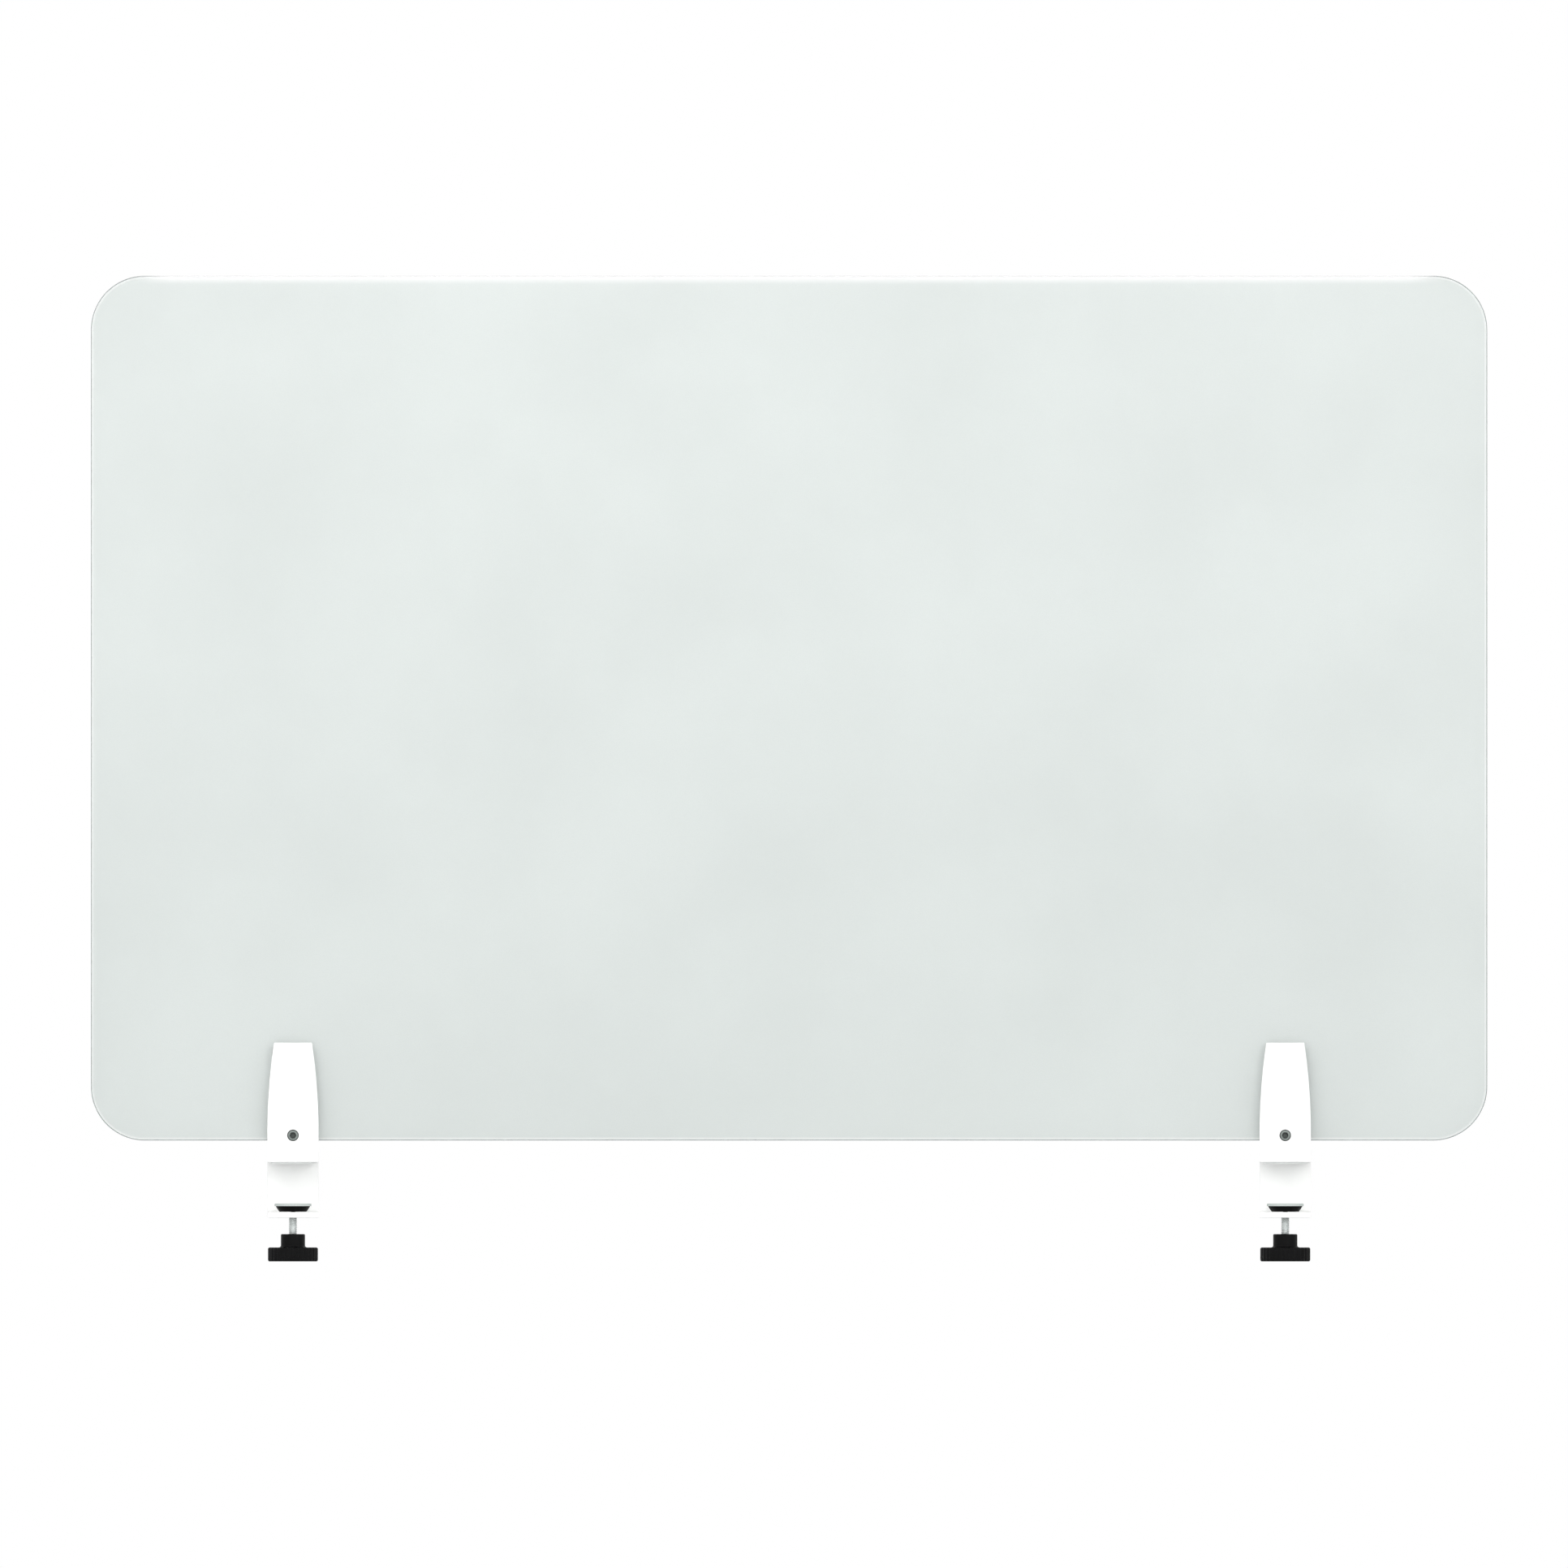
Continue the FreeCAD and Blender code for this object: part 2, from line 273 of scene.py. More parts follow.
def thread(name, core, crest, pitch, low, high):
    """A screw thread's ridge around the Z axis: one tooth's outline, screwed up along the shank."""
    sunk = 0.05 * MM  # how far the tooth's root lies inside the shank
    root_share, crest_share, steps = 0.84, 0.2, 32
    select_none()
    bpy.ops.mesh.primitive_plane_add(size=1, rotation=(math.radians(90), 0, 0))
    settle()
    piece = new_piece(name)
    edit(piece)
    pick_all()
    bpy.ops.transform.resize(value=(crest - core + sunk, 1, root_share * pitch))
    move(x=(core - sunk + crest) / 2, z=low + root_share / 2 * pitch)
    pick("VERT", lambda v: v.co.x > crest - 1e-6)
    bpy.ops.transform.resize(value=(1, 1, crest_share))
    pick_all()
    bpy.ops.mesh.delete(type="ONLY_FACE")
    leave()
    ridge = piece.modifiers.new("ridge", "SCREW")
    ridge.screw_offset = pitch
    ridge.iterations = int((high - low) / pitch)
    ridge.steps = steps
    ridge.render_steps = steps
    ridge.use_merge_vertices = True
    ridge.merge_threshold = TOUCHING
    apply(piece, ridge)
    edit(piece)
    pick_all()
    bpy.ops.mesh.fill_holes(sides=4)
    clean()
    leave()
    return piece


def apply(piece, modifier):
    """Works a modifier into a piece's mesh."""
    select_only(piece)
    bpy.ops.object.modifier_apply(modifier=modifier.name)


def combine(piece, other, operation):
    """Adds another solid to a piece, or cuts it away."""
    modifier = piece.modifiers.new("combine", "BOOLEAN")
    modifier.operation = operation
    modifier.solver = "EXACT"
    modifier.object = other
    apply(piece, modifier)
    bpy.data.objects.remove(other)
    return piece


def place(piece, location=(0, 0, 0), rotation=(0, 0, 0)):
    """Sets a piece down somewhere else, with its place kept in its mesh."""
    select_only(piece)
    piece.rotation_euler = rotation
    piece.location = location
    settle()


def soften_edges(piece, width, segments=3):
    """Rounds every sharp edge of a piece."""
    modifier = piece.modifiers.new("soften", "BEVEL")
    modifier.width = width
    modifier.segments = segments
    modifier.limit_method = "ANGLE"
    modifier.angle_limit = SHARP
    apply(piece, modifier)


def smooth(piece):
    """Shades a piece smooth across gentle edges, with flat faces kept flat."""
    select_only(piece)
    bpy.ops.object.shade_smooth_by_angle(angle=SHARP)
    modifier = piece.modifiers.new("level", "WEIGHTED_NORMAL")
    modifier.keep_sharp = True
    apply(piece, modifier)


def arc(centre_radius, centre_height, radius, start, end, count):
    """Corners along an arc of a turned outline, from one angle to another in degrees."""
    corners = []
    for step in range(count + 1):
        angle = math.radians(start + (end - start) * step / count)
        across = centre_radius + radius * math.cos(angle)
        up = centre_height + radius * math.sin(angle)
        corners.append((across, up, 0))
    return corners


def tongue_half_width(z, inset=0.0):
    """Half of a tongue's width at a height: upright below, then an arc that leans in to the tip."""
    bend = PANEL_LOW.z + STRAIGHT_SIDE
    if z <= bend:
        return HALF_WIDTH - inset
    rise = BODY_HIGH.z - bend
    narrowing = HALF_WIDTH - TONGUE_TIP / 2
    radius = (rise ** 2 + narrowing ** 2) / (2 * narrowing)
    return HALF_WIDTH - radius + math.sqrt((radius - inset) ** 2 - (z - bend) ** 2)


def narrow_to_tongue(inset=0.0, levels=16):
    """Cuts the open piece into levels above the bend and draws each in to the tongue's outline."""
    bend = PANEL_LOW.z + STRAIGHT_SIDE
    top = max(v.co.z for v in bmesh.from_edit_mesh(bpy.context.object.data).verts)
    for level in range(levels):
        pick_all()
        cut((CLAMP_X, 0, bend + (top - TIP_ROUND - bend) * level / levels), (0, 0, 1))
    mesh = bmesh.from_edit_mesh(bpy.context.object.data)
    same = 0.005 * MM  # points within this of each other are one level, drawn in together
    heights = []
    for z in sorted(v.co.z for v in mesh.verts if v.co.z > bend + 0.01 * MM):
        if not heights or z - heights[-1] > same:
            heights.append(z)
    full = tongue_half_width(bend, inset)
    for z in heights:
        pick("VERT", lambda v: z <= v.co.z <= z + same)
        share = tongue_half_width(z, inset) / full
        bpy.ops.transform.resize(value=(share, 1, 1), center_override=(CLAMP_X, 0, z))


def fit_both_sides(piece, material, node, body):
    """Finishes a left piece, and sets it and its copy at the right clamp in place of their CAD nodes."""
    smooth(piece)
    piece.data.materials.append(material)
    select_only(piece)
    bpy.ops.object.duplicate()
    twin = new_piece(piece.name.replace("left_", "right_"))
    place(twin, location=(CLAMP_SHIFT, 0, 0))
    for side, thing in (("left_", piece), ("right_", twin)):
        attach(thing, side + body)
        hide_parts(side + node)


# ================ materials ================

def linear(code):
    """A colour's linear RGBA values from its sRGB hex code."""
    values = []
    for start in (1, 3, 5):
        share = int(code[start:start + 2], 16) / 255
        values.append(share / 12.92 if share <= 0.04045 else ((share + 0.055) / 1.055) ** 2.4)
    return (*values, 1.0)


def grey(value):
    """A grey's linear RGBA values."""
    return (value, value, value, 1.0)


def add(tree, kind, values=None, links=None, **settings):
    """Adds a node with its settings, its sockets' values and its links."""
    node = tree.nodes.new(kind)
    for name, value in settings.items():
        setattr(node, name, value)
    for name, value in (values or {}).items():
        node.inputs[name].default_value = value
    for name, socket in (links or {}).items():
        tree.links.new(socket, node.inputs[name])
    return node


def fine(size):
    """A pattern's scale for features of a size in millimetres."""
    return 1000 / size


def start_material(name, **values):
    """A material with its shader's own values set, and the piece's own coordinates."""
    material = bpy.data.materials.new(name)
    material.use_nodes = True
    tree = material.node_tree
    shader = tree.nodes["Principled BSDF"]
    for socket, value in values.items():
        shader.inputs[socket.replace("_", " ")].default_value = value
    place_node = add(tree, "ShaderNodeTexCoord")
    return material, tree, shader, place_node.outputs["Object"]


def colour_between(tree, factor, first, second, low=0.35, high=0.65):
    """A colour that follows a pattern, from one hex code to another."""
    ramp = add(tree, "ShaderNodeValToRGB", links={"Fac": factor})
    ramp.color_ramp.elements[0].position = low
    ramp.color_ramp.elements[0].color = linear(first)
    ramp.color_ramp.elements[1].position = high
    ramp.color_ramp.elements[1].color = linear(second)
    return ramp.outputs["Color"]


def value_between(tree, factor, low, high):
    """A number that follows a pattern between two values."""
    return add(
        tree, "ShaderNodeMapRange", {"To Min": low, "To Max": high, "From Min": 0.3, "From Max": 0.7},
        {"Value": factor},
    ).outputs["Result"]


def noise(tree, coordinates, size, detail=2.0, roughness=0.5):
    """A soft random pattern with features of a size in millimetres."""
    return add(
        tree, "ShaderNodeTexNoise", {"Scale": fine(size), "Detail": detail, "Roughness": roughness},
        {"Vector": coordinates},
    ).outputs["Fac"]


def bump(tree, shader, height, depth, strength=1.0, under=None):
    """Raises a pattern by a depth in metres."""
    links = {"Height": height}
    if under is not None:
        links["Normal"] = under
    node = add(tree, "ShaderNodeBump", {"Strength": strength, "Distance": depth}, links)
    tree.links.new(node.outputs["Normal"], shader.inputs["Normal"])
    return node.outputs["Normal"]


def blend(tree, factor, first, second):
    """Lays a second colour over a first where a factor is high."""
    mix = add(tree, "ShaderNodeMix", links={0: factor, 6: first}, data_type="RGBA")
    mix.inputs[7].default_value = linear(second)
    return mix.outputs[2]


def fade(tree, value, start, end, strength=1.0):
    """Falls smoothly from a strength to nothing as a value in metres goes from start to end."""
    return add(
        tree, "ShaderNodeMapRange",
        {"From Min": start, "From Max": end, "To Min": strength, "To Max": 0.0}, {"Value": value},
        interpolation_type="SMOOTHSTEP",
    ).outputs["Result"]


def vector_step(tree, operation, vector, other):
    """One sum between a place and a constant."""
    node = add(tree, "ShaderNodeVectorMath", links={0: vector}, operation=operation)
    node.inputs[1].default_value = other
    return node.outputs["Vector"]


def number_step(tree, operation, first, second):
    """One sum between two patterns, two numbers or one of each."""
    node = add(tree, "ShaderNodeMath", operation=operation)
    for socket, value in zip(node.inputs, (first, second)):
        if isinstance(value, float):
            socket.default_value = value
        else:
            tree.links.new(value, socket)
    return node.outputs["Value"]


def depth_from_rim(tree, at):
    """How far in from the panel's rounded rim a point lies, in metres."""
    middle = (PANEL_LOW + PANEL_HIGH) / 2
    half = (PANEL_HIGH - PANEL_LOW) / 2
    across = vector_step(tree, "SUBTRACT", at, middle)
    flat = vector_step(tree, "MULTIPLY", across, (1, 0, 1))
    corner = vector_step(tree, "ABSOLUTE", flat, (0, 0, 0))
    past = vector_step(tree, "SUBTRACT", corner, (half.x - PANEL_CORNER, 0, half.z - PANEL_CORNER))
    outside = vector_step(tree, "MAXIMUM", past, (0, 0, 0))
    length = add(tree, "ShaderNodeVectorMath", links={0: outside}, operation="LENGTH").outputs["Value"]
    parts = add(tree, "ShaderNodeSeparateXYZ", links={"Vector": past})
    longest = number_step(tree, "MAXIMUM", parts.outputs["X"], parts.outputs["Z"])
    inside = number_step(tree, "MINIMUM", longest, 0.0)
    distance = number_step(tree, "ADD", length, inside)
    return number_step(tree, "MULTIPLY", number_step(tree, "SUBTRACT", distance, PANEL_CORNER), -1.0)


def painted_top_glow(tree, at, start, end, strength):
    """Painted light for the light taken in by the panel's upper edge: it fades downwards, and out towards
    both corners.
    """
    half = (PANEL_HIGH.x - PANEL_LOW.x) / 2 - PANEL_CORNER
    place_node = add(tree, "ShaderNodeSeparateXYZ", links={"Vector": at})
    below_top = number_step(tree, "SUBTRACT", PANEL_HIGH.z, place_node.outputs["Z"])
    along = number_step(tree, "ABSOLUTE", place_node.outputs["X"], 0.0)
    downwards = fade(tree, below_top, start, end, strength)
    outwards = fade(tree, along, half - 20 * MM, half + 12 * MM)
    return number_step(tree, "MULTIPLY", downwards, outwards)


def frosted_acrylic():
    """Cast acrylic, blasted matt on both faces: light comes through it soft, with no clear outline.

    The colour is painted lighter for the first few millimetres in from the polished edges, most along the
    top: painted light for the light that the edges take in.
    """
    material, tree, shader, at = start_material(
        "frosted_cast_acrylic", IOR=1.49, Transmission_Weight=0.6, Metallic=0.0
    )
    cloud = noise(tree, at, 150, detail=3)
    grit = noise(tree, at, 0.7, detail=2)  # real grit is 0.1 mm; coarser here, so that it shows
    wipes = add(tree, "ShaderNodeMapping", {"Scale": (1.0, 1.0, 0.12)}, {"Vector": at})
    wiped = noise(tree, wipes.outputs["Vector"], 6.0, detail=4, roughness=0.6)
    body = colour_between(tree, cloud, "#E2E7E5", "#E7ECEA")
    speckled = blend(tree, value_between(tree, grit, 0.0, 0.3), body, "#D8DDDB")
    # painted highlight in a band just inside the rim, and painted light whitening the colour along the top
    # edge
    painted_edge_glow = fade(tree, depth_from_rim(tree, at), 1.2 * MM, 2.6 * MM, 0.9)
    painted_glow = painted_top_glow(tree, at, 1.0 * MM, 6.5 * MM, 0.85)
    lit = blend(tree, painted_edge_glow, speckled, "#F8FAF9")
    tree.links.new(blend(tree, painted_glow, lit, "#FFFFFF"), shader.inputs["Base Color"])
    tree.links.new(value_between(tree, wiped, 0.5, 0.6), shader.inputs["Roughness"])
    bump(tree, shader, grit, 0.05 * MM, 0.8)
    return material


def polished_acrylic():
    """The panel's edges, flame polished after sawing: glassy, with faint saw waves left; their colour is
    darkened as painted shade, and whitened along the top as painted light.
    """
    material, tree, shader, at = start_material(
        "polished_acrylic_edge", IOR=1.49, Transmission_Weight=0.5, Metallic=0.0
    )
    wave = noise(tree, at, 4.0, detail=1)
    # painted shade: the edge colour is kept darker than the sheet to draw the dark line along the polished
    # edge
    dull = colour_between(tree, wave, "#99A19F", "#A7AFAD")
    painted_glow = painted_top_glow(tree, at, 2.0 * MM, 8.0 * MM, 1.0)
    tree.links.new(blend(tree, painted_glow, dull, "#FFFFFF"), shader.inputs["Base Color"])
    tree.links.new(value_between(tree, wave, 0.06, 0.14), shader.inputs["Roughness"])
    bump(tree, shader, wave, 0.05 * MM, 0.4)
    return material


def near_edges(tree, reach, strength):
    """High along a piece's outer edges, and nothing on its flat faces."""
    rounded = add(tree, "ShaderNodeBevel", {"Radius": reach}, samples=4).outputs["Normal"]
    true = add(tree, "ShaderNodeNewGeometry").outputs["True Normal"]
    agreement = add(tree, "ShaderNodeVectorMath", links={0: rounded, 1: true}, operation="DOT_PRODUCT")
    return fade(tree, agreement.outputs["Value"], 0.8, 0.995, strength)


def powder_coat():
    """White polyester powder baked on aluminium: an even satin white with a fine orange-peel skin."""
    material, tree, shader, at = start_material("white_powder_coat", IOR=1.5, Metallic=0.0)
    peel = noise(tree, at, 1.3, detail=2)
    handled = noise(tree, at, 22, detail=4, roughness=0.6)
    thin_coat_and_edge_shade = near_edges(tree, 0.9 * MM, 0.6)
    coat_colour = colour_between(tree, handled, "#F8F8F7", "#FBFBFA")
    coat_with_edge_shade = blend(tree, thin_coat_and_edge_shade, coat_colour, "#DCDDDF")  # painted shade along the edges, where the coat also runs thinner
    tree.links.new(coat_with_edge_shade, shader.inputs["Base Color"])
    tree.links.new(value_between(tree, handled, 0.36, 0.46), shader.inputs["Roughness"])
    bump(tree, shader, peel, 0.06 * MM, 0.35)
    return material


def recess_shade(tree, reach, most):
    """High in corners and holes, where shade falls, and nothing on open faces: the mask for painted shade.
    """
    open_sky = add(tree, "ShaderNodeAmbientOcclusion", {"Distance": reach}, samples=8)
    return add(
        tree, "ShaderNodeMapRange", {"From Min": 0.0, "From Max": most, "To Min": 1.0, "To Max": 0.0},
        {"Value": open_sky.outputs["AO"]},
    ).outputs["Result"]


def zinc_plate():
    """Turned steel under clear zinc: bright grey, a little blue, with fine marks round the axis."""
    material, tree, shader, at = start_material("zinc_plated_steel", Metallic=1.0)
    marks = add(tree, "ShaderNodeMapping", {"Scale": (0.2, 0.2, 3.0)}, {"Vector": at})
    turning = noise(tree, marks.outputs["Vector"], 1.0, detail=3)
    bloom = noise(tree, at, 3.5, detail=3)
    bright = colour_between(tree, bloom, "#D2D6D5", "#E6E9E8")
    bright_with_recess_shade = blend(tree, recess_shade(tree, 6 * MM, 0.4), bright, "#5E6361")  # painted shade in the hollows by the knob and under the arm
    tree.links.new(bright_with_recess_shade, shader.inputs["Base Color"])
    tree.links.new(value_between(tree, turning, 0.22, 0.38), shader.inputs["Roughness"])
    bump(tree, shader, turning, 0.02 * MM, 0.4)
    return material


def black_oxide():
    """Steel blackened in hot salts: the end is rubbed to a dull grey, and the socket is painted black as
    painted shade.
    """
    material, tree, shader, at = start_material("black_oxide_steel", Metallic=1.0)
    mottle = noise(tree, at, 0.8, detail=4, roughness=0.6)
    rubbed = colour_between(tree, mottle, "#747A77", "#868C89")
    # painted shade: black laid into the socket and other hollows by the occlusion mask
    tree.links.new(blend(tree, recess_shade(tree, 8 * MM, 0.7), rubbed, "#050606"), shader.inputs["Base Color"])
    tree.links.new(value_between(tree, mottle, 0.35, 0.5), shader.inputs["Roughness"])
    bump(tree, shader, mottle, 0.02 * MM, 0.3)
    return material


def moulded_black(name, texture_size, low, high):
    """Injection-moulded black plastic: deep black, spark-eroded texture, dull low shine."""
    material, tree, shader, at = start_material(name, IOR=1.5, Metallic=0.0, Specular_IOR_Level=0.1)
    grain = noise(tree, at, texture_size, detail=3)
    flow = noise(tree, at, 14, detail=2)
    tree.links.new(colour_between(tree, flow, "#040404", "#080809"), shader.inputs["Base Color"])
    tree.links.new(value_between(tree, grain, low, high), shader.inputs["Roughness"])
    bump(tree, shader, grain, 0.04 * MM, 0.5)
    return material


def soft_rubber():
    """Light grey EPDM rubber, a little green: dry and matt, with a fine pebble."""
    material, tree, shader, at = start_material("grey_epdm_rubber", IOR=1.52, Metallic=0.0)
    pebble = noise(tree, at, 0.7, detail=3)
    tree.links.new(colour_between(tree, pebble, "#B2B9B6", "#C0C7C4"), shader.inputs["Base Color"])
    tree.links.new(value_between(tree, pebble, 0.72, 0.85), shader.inputs["Roughness"])
    bump(tree, shader, pebble, 0.05 * MM, 0.5)
    return material


def silicone():
    """Translucent silicone sheet: milky, soft, slightly tacky-looking."""
    material, tree, shader, at = start_material(
        "translucent_silicone", IOR=1.41, Metallic=0.0, Transmission_Weight=0.15
    )
    haze = noise(tree, at, 5, detail=2)
    tree.links.new(colour_between(tree, haze, "#EFF1F0", "#F6F7F7"), shader.inputs["Base Color"])
    tree.links.new(value_between(tree, haze, 0.45, 0.6), shader.inputs["Roughness"])
    bump(tree, shader, haze, 0.04 * MM, 0.3)
    return material


# ================ the panel ================

def panel():
    """The frosted panel: big round corners, then a small polished round along every edge."""
    polished_round = 1.0 * MM
    piece = block("frosted_panel", PANEL_LOW, PANEL_HIGH)
    edit(piece)
    pick("EDGE", lambda e: abs((e.verts[0].co - e.verts[1].co).normalized().y) > 0.9)
    round_over(PANEL_CORNER, 24)
    pick("EDGE", lambda e: abs(e.verts[0].co.y - e.verts[1].co.y) < 1e-6)
    round_over(polished_round, 4)
    pick("FACE", lambda f: abs(f.normal.y) > 0.999 and f.calc_area() > 0.1)
    bpy.ops.mesh.inset(thickness=0.3 * MM)
    leave()
    smooth(piece)
    piece.data.materials.append(frosted_acrylic())
    piece.data.materials.append(polished_acrylic())
    for face in piece.data.polygons:
        face.material_index = 0 if abs(face.normal.y) > 0.98 else 1
    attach(piece, "panel")
    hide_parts("panel")


# ================ clamp pieces ================

def clamp_casting(coat):
    """The clamp body: a saddle block, two tongues up, a web down and the lower arm forwards."""
    jaw, floor, tip = PAD_HIGH.z, PANEL_LOW.z, BODY_HIGH.z
    front, back = BODY_LOW.y, BODY_HIGH.y
    arm_top, arm_bottom = BUSH_HIGH.z, BODY_LOW.z
    slot_front, slot_rear = front + FRONT_WALL, LINER_HIGH.y
    rear_foot = slot_rear + REAR_WALL
    left, right = BODY_LOW.x, BODY_HIGH.x
    piece = block("left_clamp_casting", (left, front, jaw), (right, back, floor))
    edit(piece)
    for y in (slot_front, slot_rear, rear_foot):
        pick_faces((0, 0, 1), (left, front, floor - MM), (right, back, floor + MM))
        cut((0, y, 0), (0, 1, 0))
    pick_faces((0, 0, -1), (left, front, jaw - MM), (right, back, jaw + MM))
    cut((0, 0, 0), (0, 1, 0))
    pick_faces((0, 0, 1), (left, front, floor - MM), (right, slot_front, floor + MM))
    extrude(z=FRONT_UPRIGHT)
    extrude(z=tip - floor - FRONT_UPRIGHT)
    pick("VERT", lambda v: v.co.z > tip - MM and v.co.y < front + MM)
    move(y=FRONT_WALL - FRONT_WALL_TIP)
    pick_faces((0, 0, 1), (left, slot_rear, floor - MM), (right, rear_foot, floor + MM))
    extrude(z=tip - floor)
    pick("VERT", lambda v: v.co.z > tip - MM and v.co.y > rear_foot - MM)
    move(y=REAR_WALL_TIP - REAR_WALL)
    pick_faces((0, 0, -1), (left, 0, jaw - MM), (right, back, jaw + MM))
    extrude(z=arm_bottom - jaw)
    pick_faces((0, -1, 0), (left, -MM, arm_bottom), (right, MM, jaw))
    cut((0, 0, arm_top), (0, 0, 1))
    pick_faces((0, -1, 0), (left, -MM, arm_bottom), (right, MM, arm_top))
    extrude(y=front)
    pick_all()
    bpy.ops.mesh.dissolve_limited(angle_limit=math.radians(0.3))
    rounds = [
        (back, arm_bottom, HEEL_ROUND, 8),
        (back, floor, REAR_CORNER, 6),
        (rear_foot, floor, REAR_ROOT, 8),
        (0, arm_top, THROAT_ROUND, 6),
        (slot_rear + REAR_WALL_TIP, tip, TIP_ROUND, 5),
        (slot_front - FRONT_WALL_TIP, tip, TIP_ROUND, 5),
    ]
    for y, z, radius, segments in rounds:
        pick("EDGE", lambda e: all(math.hypot(v.co.y - y, v.co.z - z) < 1e-5 for v in e.verts))
        round_over(radius, segments)
    narrow_to_tongue()
    leave()
    soften_edges(piece, COATED_EDGE)
    grip_bore(piece, front, slot_front)
    bush_bore(piece, arm_bottom, arm_top)
    fit_both_sides(piece, coat, "clamp_body", "clamp")


def drill(name, radius, low, high):
    """A drill that leaves a small chamfer at both mouths of a hole, around the Z axis."""
    lead = 0.35 * MM  # chamfer
    over = 1.0 * MM  # how far the drill stands out at each end
    return turned(name, [
        (0, low - over, 0),
        (radius + lead + over, low - over, 0),
        (radius, low + lead, 0),
        (radius, high - lead, 0),
        (radius + lead + over, high + over, 0),
        (0, high + over, 0),
    ], TURNED_STEPS, closed=False)


def grip_bore(piece, front, slot_front):
    """The hole through the front tongue, with running room round the grip screw."""
    running_room = 0.05 * MM
    radius = (GRIP_HIGH.z - GRIP_LOW.z) / 2 + running_room
    tool = drill("grip_drill", radius, front, slot_front)
    place(tool, (CLAMP_X, 0, GRIP_Z), (math.radians(-90), 0, 0))
    combine(piece, tool, "DIFFERENCE")


def bush_bore(piece, arm_bottom, arm_top):
    """The hole through the lower arm that holds the bush."""
    radius = (BUSH_HIGH.x - BUSH_LOW.x) / 2
    tool = drill("bush_drill", radius, arm_bottom, arm_top)
    place(tool, (CLAMP_X, SCREW_Y, 0))
    combine(piece, tool, "DIFFERENCE")


def jaw_pad(material):
    """The pad under the upper jaw, with shallow grip grooves moulded in its underside."""
    corner, margin, edge = 3 * MM, 2.2 * MM, 0.15 * MM
    groove, depth, count = 1.0 * MM, 0.35 * MM, 9
    top = PAD_HIGH - Vector((0, 0, AIR))
    piece = block("left_jaw_cushion", PAD_LOW, top)
    edit(piece)
    pick("EDGE", lambda e: abs((e.verts[0].co - e.verts[1].co).normalized().z) > 0.9)
    round_over(corner, 6)
    pick("FACE", lambda f: f.normal.z < -0.9)
    bpy.ops.mesh.inset(thickness=margin)
    span = PAD_HIGH.y - PAD_LOW.y - 2 * margin
    pitch = span / count
    for step in range(count):
        middle = PAD_LOW.y + margin + (step + 0.5) * pitch
        for y in (middle - groove / 2, middle + groove / 2):
            pick("FACE", lambda f: f.normal.z < -0.9 and is_inside_pad(f, margin))
            cut((0, y, 0), (0, 1, 0))
    for step in range(count):
        middle = PAD_LOW.y + margin + (step + 0.5) * pitch
        pick("FACE", lambda f: f.normal.z < -0.9 and is_inside_pad(f, margin)
             and abs(f.calc_center_median().y - middle) < groove / 4)
        extrude(z=depth)
    clean()
    leave()
    soften_edges(piece, edge, segments=2)
    fit_both_sides(piece, material, "jaw_pad", "clamp")


def is_inside_pad(face, margin):
    """True for the faces that lie inside the pad's plain border."""
    border = margin - 0.001 * MM
    low, high = PAD_LOW, PAD_HIGH
    return all(
        low.x + border <= v.co.x <= high.x - border and low.y + border <= v.co.y <= high.y - border
        for v in face.verts
    )


def slot_strip(name, node, body, material, edge):
    """A liner or plate that stands in the slot, clear of its rounded root, and follows the tongue."""
    low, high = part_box("left_" + node)
    gap, root = Vector((0, AIR, 0)), Vector((0, 0, COATED_EDGE))
    piece = block("left_" + name, low + gap + root, high - gap)
    edit(piece)
    narrow_to_tongue(SLOT_INSET)
    leave()
    soften_edges(piece, edge, segments=2)
    fit_both_sides(piece, material, node, body)


def grip_screw(material):
    """The M8 set screw that nips the panel: threaded body, chamfered ends, hexagon socket."""
    crest, core, pitch = 4.0 * MM, 3.3 * MM, 1.25 * MM
    length = GRIP_HIGH.y - GRIP_LOW.y
    point, point_height, thread_start = 2.6 * MM, 0.7 * MM, 0.5 * MM
    end, rim, rim_height = 3.45 * MM, 3.85 * MM, 0.55 * MM
    thread_end = length - 0.9 * MM
    socket_flats, socket_depth, mouth_depth = 4.0 * MM, 3.5 * MM, 0.3 * MM
    piece = turned("left_grip_set_screw", [
        (0, AIR, 0),
        (point, AIR, 0.2 * MM),
        (core, point_height, 0),
        (core, thread_end, 0),
        (rim, length - rim_height, 0.1 * MM),
        (end, length, 0.15 * MM),
        (0, length, 0),
    ], TURNED_STEPS, closed=False)
    combine(piece, thread("grip_thread", core, crest, pitch, thread_start, thread_end), "UNION")
    socket = hexagon("socket", socket_flats, length - socket_depth, length + MM)
    combine(piece, socket, "DIFFERENCE")
    mouth = turned("mouth", [
        (0, length - mouth_depth, 0),
        (socket_flats / 2, length - mouth_depth, 0),
        (socket_flats / 2 + 2 * mouth_depth, length + mouth_depth, 0),
        (0, length + mouth_depth, 0),
    ], 48, closed=False)
    combine(piece, mouth, "DIFFERENCE")
    place(piece, (CLAMP_X, GRIP_HIGH.y, GRIP_Z), (math.radians(90), 0, 0))
    fit_both_sides(piece, material, "grip_screw", "grip")


